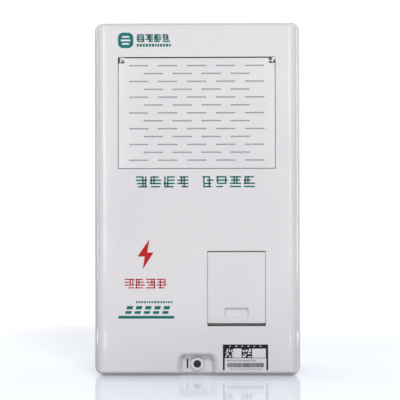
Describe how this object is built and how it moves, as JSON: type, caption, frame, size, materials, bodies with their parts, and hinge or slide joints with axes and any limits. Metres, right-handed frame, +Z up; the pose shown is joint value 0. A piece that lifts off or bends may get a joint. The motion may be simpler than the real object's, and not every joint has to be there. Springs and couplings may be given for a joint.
{
  "type": "prepaid electricity meter box",
  "caption": "Wall box with a hinged domed cover, a card flap over a prepaid electricity meter, a breaker flap and a sealing screw.",
  "frame": {"origin": "middle of the bottom of the box's bounding box, on the plane the box stands on", "axes": "+Z up the box, +X to the right as one faces the front, +Y from the front cover towards the wall"},
  "size_m": [0.225, 0.115, 0.386],
  "materials": {
    "base_plastic": "light grey moulded plastic, satin",
    "seal_foam": "matt black closed-cell foam",
    "grommet_rubber": "matt black rubber",
    "pin_steel": "drawn stainless wire",
    "brass": "turned brass",
    "plate_plastic": "black moulded plastic",
    "zinc_steel": "bright zinc plating",
    "meter_grey": "fine satin meter plastic",
    "clear_plastic": "clear polycarbonate, polished",
    "faceplate_print": "printed plastic sheet",
    "lcd_glass": "liquid crystal panel with reflective back",
    "lcd_frame": "milky light guide",
    "board_green": "solder mask",
    "chip_black": "moulded epoxy",
    "relay_blue": "relay cap plastic",
    "transformer_tape": "yellow tape over varnished windings",
    "capacitor_sleeve": "shrink sleeve",
    "battery_sleeve": "shrink sleeve",
    "reader_plastic": "glass-filled black plastic",
    "button_rubber": "soft blue key",
    "led_red": "tinted lens",
    "terminal_plastic": "black phenolic moulding",
    "manganin": "bare resistance alloy strip",
    "meter_dark": "dark grey terminal cover plastic",
    "rail_steel": "passivated galvanised steel",
    "breaker_plastic": "white breaker case",
    "toggle_plastic": "black handle",
    "clip_plastic": "clip plastic",
    "tinned_copper": "tinned brass",
    "wire_red": "insulation",
    "wire_blue": "insulation",
    "cover_plastic": "smooth light grey moulded plastic, semi gloss",
    "label_foil": "printed polyester label",
    "flap_plastic": "light grey moulded plastic, semi gloss",
    "black_steel": "black oxide on steel"
  },
  "bodies": {
    "case": {"back_box": "base_plastic", "cover_seal": "seal_foam", "cable_grommet_left": "grommet_rubber", "cable_grommet_right": "grommet_rubber", "cover_hinge_pins": "pin_steel", "lock_insert": "brass", "mounting_plate": "plate_plastic", "plate_screws": "zinc_steel", "meter_base": "meter_grey", "meter_fixing_screws": "zinc_steel", "meter_cover": "meter_grey", "meter_cover_screws": "zinc_steel", "meter_window": "clear_plastic", "meter_faceplate": "faceplate_print", "lcd_panel": "lcd_glass", "lcd_backlight": "lcd_frame", "circuit_board": "board_green", "board_screws": "zinc_steel", "board_chips": "chip_black", "latching_relay": "relay_blue", "supply_transformer": "transformer_tape", "filter_capacitors": "capacitor_sleeve", "backup_battery": "battery_sleeve", "card_reader": "reader_plastic", "button_switches": "chip_black", "status_leds": "led_red", "terminal_block": "terminal_plastic", "terminal_clamps": "brass", "terminal_screws": "zinc_steel", "current_shunt": "manganin", "terminal_cover": "meter_dark", "terminal_cover_screws": "zinc_steel", "din_rail": "rail_steel", "rail_screws": "zinc_steel", "breaker_case": "breaker_plastic", "breaker_terminal_screws": "zinc_steel", "toggle_pin": "pin_steel", "earth_bar": "tinned_copper", "earth_bar_screws": "zinc_steel", "live_link_wire": "wire_red", "neutral_link_wire": "wire_blue"},
    "cover": {"front_cover": "cover_plastic", "window_pane": "clear_plastic", "pane_screws": "zinc_steel", "asset_label": "label_foil", "window_flap_pins": "pin_steel", "breaker_flap_pin": "pin_steel"},
    "window_flap": {"window_flap": "flap_plastic"},
    "breaker_flap": {"breaker_flap": "flap_plastic"},
    "lock_washer": {"lock_washer": "black_steel"},
    "lock_screw": {"lock_screw": "black_steel"},
    "breaker_toggle": {"breaker_toggle": "toggle_plastic"},
    "rail_clip": {"rail_clip": "clip_plastic"},
    "left_button": {"meter_button_left": "button_rubber"},
    "right_button": {"meter_button_right": "button_rubber"}
  },
  "joints": [
    {"name": "cover_hinge", "type": "hinge", "parent": "case", "child": "cover", "pos_m": [0, -0.021, 0.3825], "axis": [-1, 0, 0], "range_deg": [0, 110]},
    {"name": "window_flap_hinge", "type": "hinge", "parent": "cover", "child": "window_flap", "pos_m": [0, -0.0545, 0.3425], "axis": [-1, 0, 0], "range_deg": [0, 100]},
    {"name": "breaker_flap_hinge", "type": "hinge", "parent": "cover", "child": "breaker_flap", "pos_m": [0.0428, -0.055, 0.1326], "axis": [-1, 0, 0], "range_deg": [0, 100]},
    {"name": "lock_screw_travel", "type": "slide", "parent": "cover", "child": "lock_washer", "axis": [0, -1, 0], "range_m": [0, 0.01]},
    {"name": "lock_screw_turn", "type": "hinge", "parent": "lock_washer", "child": "lock_screw", "pos_m": [0, -0.05, 0.013], "axis": [0, -1, 0], "range_deg": [0, 3600]},
    {"name": "breaker_toggle_swing", "type": "hinge", "parent": "case", "child": "breaker_toggle", "pos_m": [0.0428, -0.0423, 0.0953], "axis": [1, 0, 0], "range_deg": [0, 50]},
    {"name": "rail_clip_pull", "type": "slide", "parent": "case", "child": "rail_clip", "axis": [0, 0, -1], "range_m": [0, 0.004], "stiffness_N_per_m": 500, "springref_m": -0.002},
    {"name": "left_button_press", "type": "slide", "parent": "case", "child": "left_button", "axis": [0, 1, 0], "range_m": [0, 0.0008], "stiffness_N_per_m": 250, "springref_m": -0.0008},
    {"name": "right_button_press", "type": "slide", "parent": "case", "child": "right_button", "axis": [0, 1, 0], "range_m": [0, 0.0008], "stiffness_N_per_m": 250, "springref_m": -0.0008}
  ],
  "couplings": [
    {"joint": "lock_screw_turn", "follows": "lock_screw_travel", "rad_per_m": 6283.2}
  ]
}
